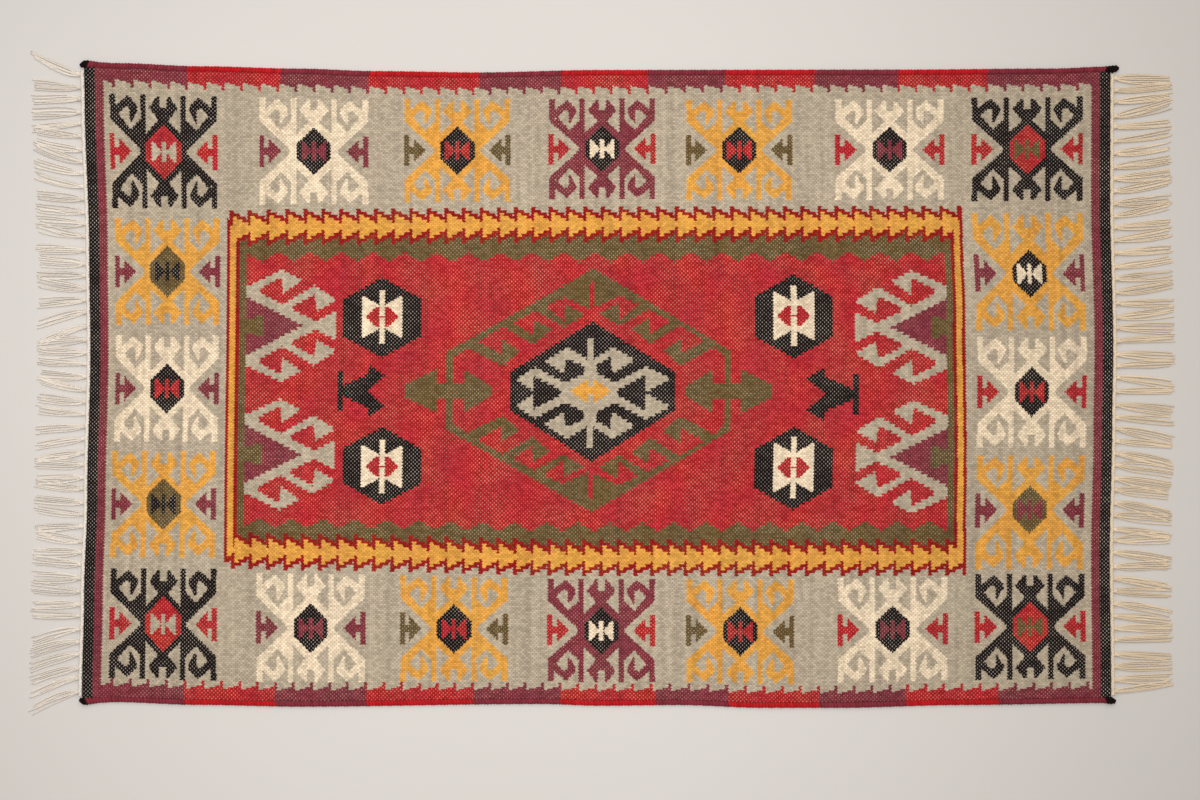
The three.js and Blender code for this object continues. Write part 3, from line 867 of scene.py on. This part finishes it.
def wrapped_wool():
    """Plied wool wrapped round the outer warps: matt, its dye in the yarn with painted light and shade on
    the wraps, each wrap a little its own.
    """
    material, tree, shader = new_material(
        "wrapped_wool", Roughness=0.92, Specular_IOR_Level=0.1, Sheen_Weight=0.03)
    dye = node(tree, "ShaderNodeAttribute", attribute_name="dye")
    place = node(tree, "ShaderNodeTexCoord").outputs["Object"]
    grain = (1 / (WRAP * MM), CORD_GRAIN, CORD_GRAIN)
    wraps = node(tree, VECTOR_MATH, {0: place, 1: grain}, operation="MULTIPLY")
    noise = node(tree, NOISE, {"Vector": wraps, "Scale": 0.7, "Detail": 3.0})
    tone = node(tree, MATH, {0: noise, 1: WRAP_SWING, 2: WRAP_TONE}, operation="MULTIPLY_ADD")
    dyed = node(tree, "ShaderNodeHueSaturation", {"Value": tone, "Color": dye})
    tree.links.new(dyed.outputs[0], shader["Base Color"])
    fuzz = node(tree, NOISE, {"Vector": place, "Scale": FIBRE_GRAIN, "Detail": 2.0})
    bump = node(tree, "ShaderNodeBump", {"Height": fuzz, "Strength": 0.4, "Distance": 0.0004})
    tree.links.new(bump.outputs[0], shader["Normal"])
    return material


FRAY_GRAIN = (260.0, 1500.0, 1500.0)  # fibres along a strand and across it, to a metre
COTTON_TONE, STRAND_SWING, FRAY_SWING = 0.90, 0.10, 0.2


def twisted_cotton(name, dye):
    """Undyed cotton warp yarn, loosely plied: matt ivory, a little darker where the fibres fray, and
    its colour painted as lit, cooler and whiter at one end and warmer at the other."""
    material, tree, shader = new_material(name, Roughness=0.88, Specular_IOR_Level=0.3, Sheen_Weight=0.1)
    tone = node(tree, "ShaderNodeAttribute", attribute_name="tone").outputs["Fac"]
    place = node(tree, "ShaderNodeTexCoord").outputs["Object"]
    fibres = node(tree, VECTOR_MATH, {0: place, 1: FRAY_GRAIN}, operation="MULTIPLY")
    noise = node(tree, NOISE, {"Vector": fibres, "Scale": 1.0, "Detail": 3.0})
    bright = node(tree, MATH, {0: tone, 1: STRAND_SWING, 2: COTTON_TONE}, operation="MULTIPLY_ADD")
    bright = node(tree, MATH, {0: noise, 1: FRAY_SWING, 2: bright}, operation="MULTIPLY_ADD")
    dyed = node(tree, "ShaderNodeHueSaturation", {"Value": bright, "Color": linear(dye)})
    tree.links.new(dyed.outputs[0], shader["Base Color"])
    bump = node(tree, "ShaderNodeBump", {"Height": noise, "Strength": 0.5, "Distance": 0.0004})
    tree.links.new(bump.outputs[0], shader["Normal"])
    return material


FLOOR_DARK, FLOOR_LIGHT = "#DAD5D1", "#E3E0DC"
FLOOR_GRAIN = 0.8


def matt_floor():
    """A pale matt floor, rolled in warm white."""
    material, tree, shader = new_material("matt_floor", Roughness=0.85, Specular_IOR_Level=0.2)
    place = node(tree, "ShaderNodeTexCoord").outputs["Object"]
    cloud = node(tree, NOISE, {"Vector": place, "Scale": FLOOR_GRAIN, "Detail": 2.0})
    colours = {0: cloud, 6: linear(FLOOR_DARK), 7: linear(FLOOR_LIGHT)}
    colour = node(tree, "ShaderNodeMix", colours, data_type="RGBA")
    tree.links.new(colour.outputs[2], shader["Base Color"])
    return material


# Selvedge cords

WRAP = 4.4  # width of one wrap, drawn coarser than the thread so that it shows
WRAP_GROOVE = 0.8  # thickness between the wraps, against that of a wrap
WRAP_SLANT = 0.45
KNOB_ROUND = 7  # length over which a cord's end is rounded
KNOB_LEAST = 0.03  # share of that length at which the end is cut off
KNOB_SWELL = 0.4
KNOB_AT, KNOB_LONG = 8, 8  # middle of the swelling, from the cord's end, and its length
CORD_UNEVEN, CORD_WAVE = 0.04, 0.9  # how uneven the wraps are, and how fast that changes
CORD_LIFT = 1.02  # of the cord's middle over the floor, against its half height
CORD_SIDES = 10
PAINTED_WRAP_LIGHT, PAINTED_WRAP_SHADE, WRAP_STRAY = 1.4, 0.8, 0.16  # painted light on the wraps and painted shade between them, as factors on the dye, and each wrap's random stray in tone
CORD_BLACK = 7  # of the cord inside the cloth's end


def selvedge_cord(name, side, changes, tree, material):
    """The weft wrapped round the outer warps of one long edge: slanting wraps, and at each end
    a black knob where the end band's yarn is carried round the corner."""
    place = side * (WIDTH / 2 - SELVEDGE_WIDE / 2)
    key = "far" if side > 0 else "near"
    start = -LENGTH / 2 - LEFT_KNOBS[key]
    end = LENGTH / 2 + RIGHT_KNOBS[key]
    u = np.linspace(start, end, round((end - start) / WRAP * 2) + 1)
    woven = np.clip(u, -LENGTH / 2, LENGTH / 2)
    x, y = laid(woven, np.full_like(u, place))
    x = x + (u - woven)
    index = np.arange(len(u))
    groove = index % 2 == 1
    from_end = np.minimum(u - start, end - u)
    tip = np.sqrt(1 - (1 - np.clip(from_end / KNOB_ROUND, KNOB_LEAST, 1)) ** 2)
    knob = KNOB_SWELL * np.exp(-((from_end - KNOB_AT) / KNOB_LONG) ** 2)
    wraps = tip * (1 + knob + CORD_UNEVEN * np.sin(index * CORD_WAVE))
    thick = SELVEDGE_WIDE / 2 * MM * np.where(groove, WRAP_GROOVE, 1.0) * wraps
    dye = np.array([linear(YARNS["red" if red else "plum"][0]) for red in edge_is_red(u, changes)])
    dye[LENGTH / 2 - np.abs(u) < CORD_BLACK] = linear(YARNS["black"][0])
    stray = np.array([scatter(i, 61 + side) for i in index])
    # Painted light on each wrap and painted shade in the grooves between wraps, with a random stray in
    # tone, multiplied into the dye
    painted_shade_and_stray = np.where(groove, PAINTED_WRAP_SHADE, PAINTED_WRAP_LIGHT) + WRAP_STRAY * stray
    dye[:, :3] *= painted_shade_and_stray[:, None]
    points = metres(x, y, SELVEDGE_HIGH / 2 * wraps * CORD_LIFT)
    attributes = {
        "turn": ("FLOAT", np.zeros(len(u))),
        "thick": ("FLOAT", thick),
        "dye": ("FLOAT_COLOR", dye),
    }
    edges = np.stack([index[:-1], index[1:]], axis=-1).tolist()
    sizes = {"Sides": CORD_SIDES, "Lobe Depth": 0.0, "Flatten": SELVEDGE_HIGH / SELVEDGE_WIDE,
             "Slant": WRAP_SLANT * side, "Material": material}
    return grown(name, points.tolist(), edges, attributes, tree, sizes)


# Heading, knots and fringe

LOCKS = 50
LOCK_MARGIN = 6
LOCK_SCATTER = 2.2
HEADING_WIDE = 5.2
HEADING_GAP = 0.3
HEADING_STEP = 1.5  # between the points of its path
HEADING_HIGH = 2.1  # of its middle over the floor
HEADING_IN = 0.3  # how far it sits back towards the cloth
HEADING_UNEVEN, HEADING_WAVE = 0.1, 1.7
HEADING_LOBE, HEADING_FLAT = 0.2, 0.62  # how far its two plies stand out, and its height against its width
HEADING_SIDES = 10
HEADING_TONE, HEADING_TONE_WAVE = 0.3, 0.31
TWINE_TURN = 8.5  # length of one full turn of the twining
BULGE_OUT, BULGE_WIDE = 1.1, 3.2  # where a knot draws the heading out
KNOT_OUT = 3
KNOT_IN = 0.4  # how far a knot starts inside the heading
KNOT_COIL = 2.1  # radius of a knot's wraps
KNOT_YARN = 1.3
KNOT_TURNS = 2.4
KNOT_LONG = 1.6  # length of a knot, against how far it stands out
KNOT_STRAY = 0.12
REST_HIGH = 1.12  # of a yarn's middle over the floor, against its radius
STRANDS = 6  # in each lock
STRAND_THICK = 2.3
STRAND_LOBE = 0.12  # how far its two plies stand out
STRAND_SPANS = 24
STRAND_SIDES = 6
STRAND_TURN = 18  # length of one full twist
STRAND_IN = 1.5  # how far a strand starts inside its knot
STRAND_UNEVEN = 0.1  # of a strand's thickness
REACH_STRAY = 4  # of its length
ROOT_STEP = 0.65  # between strands of a lock at the knot
LOCK_STRAY = 4  # how far the tips of a lock stray
STRAND_STRAY = 1.9  # and those of each strand
PAIR_DRIFT = 5  # how far the tips of a pair of locks drift together
TIP_STEP = 2.45  # and at their tips
TIP_STEP_STRAY = 0.22
FAN_EARLY = 4.5  # how soon a lock fans out past its knot
DRIFT_LATE = 0.4  # share of its drift that bends it more towards the tips
WAVE_OUT, WAVES, WAVES_STRAY = 0.9, 1.6, 0.7  # how far a strand waves, and half waves along it
ROOT_LIFT, LIFT_STRAY, LIFT_FALL = 1.2, 0.5, 5  # how high it leaves the knot, and how soon it lies down
LAYER = 0.7  # every second strand lies this share of a radius higher at the knot
CUT_FROM, CUT_THIN = 0.97, 0.8  # share of its length from which the tip is thinner, and how thin

# Each end's fringe. way: side; cotton: its colour with painted light, whiter at the left end and warmer at
# the right; reach:
# length past the knots; leans: place, drift of the tips
ENDS = {
    "left": {"way": -1, "cotton": "#F0E6DA", "reach": 67, "leans": [
        (-440, -24), (-345, -13), (-318, 4), (-170, 4), (-70, -9), (-15, 14), (40, 4), (92, -24),
        (130, 2), (210, 9), (255, 6), (320, 20), (385, -3), (418, 4), (432, 30)]},
    "right": {"way": 1, "cotton": "#F4E0C4", "reach": 80, "leans": [
        (-440, 10), (-390, -3), (-360, 3), (-310, -12), (-220, -3), (-170, -12), (-75, -12), (0, -7),
        (40, -2), (110, 9), (330, 10), (395, 16), (440, -4)]},
}


def end_x(way, v):
    """The x of the cloth's end at places across it."""
    v = np.asarray(v, float)
    return laid(np.full_like(v, way * LENGTH / 2), v)[0]


def knot_places(way):
    """Places of one end's knots, from the near side to the far side."""
    inner = WIDTH / 2 - SELVEDGE_WIDE - GROOVE_WIDE
    corners = np.array([-inner, inner])
    low, high = laid(np.full(2, way * LENGTH / 2), corners)[1]
    first, last = low + LOCK_MARGIN, high - LOCK_MARGIN
    even = np.linspace(first, last, LOCKS)
    stray = np.array([scatter(lock, 1 + way) for lock in range(LOCKS)])
    return np.clip(even + stray * LOCK_SCATTER, first, last)


def fringe_strands(name, end, places, tree, material):
    """The twisted strands of one end, fanning out of their knots and resting on the floor."""
    way = end["way"]
    share = np.linspace(0, 1, STRAND_SPANS + 1)
    radius = STRAND_THICK / 2
    points, edges, turns, thicks, tones = [], [], [], [], []
    for lock, place in enumerate(places):
        meeting = (1 if lock % 2 == 0 else -1) * (1 + scatter(lock // 2, 57 + way)) / 2
        lean = eased(end["leans"], place) + PAIR_DRIFT * meeting + LOCK_STRAY * scatter(lock, 53 + way)
        x_end = end_x(way, place)
        tip_step = TIP_STEP * (1 + TIP_STEP_STRAY * scatter(lock, 51 + way))
        for k in range(STRANDS):
            index = lock * STRANDS + k
            root_x = x_end + way * (HEADING_GAP + HEADING_WIDE + KNOT_OUT - STRAND_IN)
            tip_x = x_end + way * (HEADING_WIDE + end["reach"] + REACH_STRAY * scatter(index, 9 + way))
            middle = k - (STRANDS - 1) / 2
            fan = middle * (ROOT_STEP + (tip_step - ROOT_STEP) * (1 - (1 - share) ** FAN_EARLY))
            bend = share * (1 - DRIFT_LATE + DRIFT_LATE * share)
            drift = (lean + STRAND_STRAY * scatter(index, 5 + way)) * bend
            waves = WAVES + WAVES_STRAY * scatter(index, 23)
            wave = scatter(index, 21) * np.sin(share * math.pi * waves) * WAVE_OUT
            x = root_x + (tip_x - root_x) * share
            y = place + fan + drift + wave
            lift = (ROOT_LIFT + LIFT_STRAY * scatter(index, 27)) * (1 - share) ** LIFT_FALL
            layer = radius * LAYER * ((k + lock) % 2) * (1 - share)
            z = radius * (1 + STRAND_LOBE) * REST_HIGH + lift + layer
            first = len(points)
            points += metres(x, y, z).tolist()
            edges += [(first + i, first + i + 1) for i in range(STRAND_SPANS)]
            length = abs(tip_x - root_x)
            turns.append(2 * math.pi * share * length / STRAND_TURN + index)
            spun = radius * MM * (1 + STRAND_UNEVEN * scatter(index, 31))
            thicks.append(spun * np.where(share > CUT_FROM, CUT_THIN, 1.0))
            tones.append(np.full(len(share), scatter(index, 33)))
    attributes = {"turn": ("FLOAT", turns), "thick": ("FLOAT", thicks), "tone": ("FLOAT", tones)}
    sizes = {"Sides": STRAND_SIDES, "Lobe Depth": STRAND_LOBE, "Flatten": 1.0, "Slant": 0.0,
             "Material": material}
    return grown(name, points, edges, attributes, tree, sizes)


def twined_heading(name, end, places, tree, material):
    """The twined row that holds the cloth's end, drawn out a little at each knot."""
    way = end["way"]
    y = np.arange(places[0] - LOCK_MARGIN, places[-1] + LOCK_MARGIN, HEADING_STEP)
    nearest = np.abs(y[:, None] - places[None, :]).min(axis=1)
    bulge = BULGE_OUT * np.exp(-(nearest / BULGE_WIDE) ** 2)
    x = end_x(way, y) + way * (HEADING_GAP + HEADING_WIDE / 2 - HEADING_IN + bulge)
    points = metres(x, y, HEADING_HIGH)
    turn = y / TWINE_TURN * 2 * math.pi
    thick = (HEADING_WIDE / 2 + HEADING_UNEVEN * np.sin(y * HEADING_WAVE)) * MM
    tone = HEADING_TONE * np.sin(y * HEADING_TONE_WAVE)
    index = np.arange(len(y))
    attributes = {"turn": ("FLOAT", turn), "thick": ("FLOAT", thick), "tone": ("FLOAT", tone)}
    sizes = {"Sides": HEADING_SIDES, "Lobe Depth": HEADING_LOBE, "Flatten": HEADING_FLAT, "Slant": 0.0,
             "Material": material}
    edges = np.stack([index[:-1], index[1:]], axis=-1).tolist()
    return grown(name, points.tolist(), edges, attributes, tree, sizes)


def lock_knots(name, end, places, tree, material):
    """The knot at the root of each lock."""
    way = end["way"]
    x = end_x(way, places) + way * (HEADING_GAP + HEADING_WIDE - KNOT_IN)
    points = metres(x, places, (KNOT_COIL + KNOT_YARN) * REST_HIGH)
    lean = np.arctan2(eased(end["leans"], places), end["reach"]) * way
    facing = [(0, way * math.pi / 2, angle) for angle in lean]
    size = [[1 + KNOT_STRAY * scatter(lock, 41 + i) for i in range(3)] for lock in range(len(places))]
    tone = [scatter(lock, 45) for lock in range(len(places))]
    attributes = {
        "facing": ("FLOAT_VECTOR", facing),
        "size": ("FLOAT_VECTOR", size),
        "tone": ("FLOAT", tone),
    }
    sizes = {"Turns": KNOT_TURNS, "Coil Radius": KNOT_COIL * MM, "Yarn Radius": KNOT_YARN * MM,
             "Length": KNOT_OUT * KNOT_LONG * MM, "Material": material}
    return grown(name, points.tolist(), [], attributes, tree, sizes)


# Stage

VIEW_WIDE = 1.7004  # width of the floor that the picture shows
CAMERA_HIGH = 4.0
SENSOR = 36.0
CAMERA_FAR = 50
AIM = (1.5, -22.7)  # the picture's middle, in the charts' frame
# Lamps: their place and what they face, in metres
WINDOW_AT, WINDOW_FACES = (0.3, 2.4, 3.0), (0, 0, 0)
WINDOW_SIZE, WINDOW_POWER = 2.4, 40
OVERHEAD_AT, OVERHEAD_FACES = (-0.2, 0.5, 5.0), (-0.21, -0.09, 0)
OVERHEAD_SPREAD = 37.5  # degrees
OVERHEAD_SIZE, OVERHEAD_POWER = 0.7, 570
ROOM_LIGHT, ROOM_STRENGTH = "#FFF8EF", 0.36
FLOOR_SIZE = 14


def camera_and_light():
    """A camera straight above the rug, in soft light that comes mostly from the far side."""
    scene = bpy.context.scene
    aim = Vector(metres(*AIM, 0.0).tolist())
    lens = bpy.data.cameras.new("camera")
    lens.sensor_width = SENSOR
    lens.lens = SENSOR * CAMERA_HIGH / VIEW_WIDE
    lens.clip_end = CAMERA_FAR
    camera = bpy.data.objects.new("camera", lens)
    camera.location = aim + Vector((0, 0, CAMERA_HIGH))
    scene.collection.objects.link(camera)
    scene.camera = camera
    window = bpy.data.lights.new("window", "AREA")
    window.size = WINDOW_SIZE
    window.energy = WINDOW_POWER
    overhead = bpy.data.lights.new("overhead", "SPOT")
    overhead.spot_size = math.radians(OVERHEAD_SPREAD)
    overhead.spot_blend = 1.0
    overhead.shadow_soft_size = OVERHEAD_SIZE
    overhead.energy = OVERHEAD_POWER
    lamps = [(window, WINDOW_AT, WINDOW_FACES), (overhead, OVERHEAD_AT, OVERHEAD_FACES)]
    for light, place, target in lamps:
        lamp = bpy.data.objects.new(light.name, light)
        lamp.location = place
        lamp.rotation_euler = (Vector(target) - Vector(place)).to_track_quat("-Z", "Y").to_euler()
        scene.collection.objects.link(lamp)
    world = bpy.data.worlds.new("soft_room")
    world.use_nodes = True
    background = world.node_tree.nodes["Background"].inputs
    background["Color"].default_value = linear(ROOM_LIGHT)
    background["Strength"].default_value = ROOM_STRENGTH
    scene.world = world
    scene.view_settings.view_transform = "Standard"
    bpy.ops.mesh.primitive_plane_add(size=FLOOR_SIZE)
    floor = bpy.context.object
    floor.name = "floor"
    floor.data.materials.append(matt_floor())


camera_and_light()
wool, wrap = flat_woven_wool(), wrapped_wool()
sweep, knot = yarn_tree(), knot_tree()

cloth = woven_cloth()
cloth.data.materials.append(wool)
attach(cloth, "root")
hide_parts("rug_field")

for name, side, changes in (("selvedge_far", 1, FAR_CHANGES), ("selvedge_near", -1, NEAR_CHANGES)):
    cord = selvedge_cord(name, side, changes, sweep, wrap)
    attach(cord, "root")

for label, end in ENDS.items():
    places = knot_places(end["way"])
    # Each end's cotton takes the colour of the light painted on that end
    cotton = twisted_cotton("twisted_cotton_as_lit_" + label, end["cotton"])
    strands = fringe_strands("strands_" + label, end, places, sweep, cotton)
    heading = twined_heading("heading_" + label, end, places, sweep, cotton)
    knots = lock_knots("knots_" + label, end, places, knot, cotton)
    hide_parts("fringe_" + label)
    for piece in (strands, heading, knots):
        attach(piece, "root")
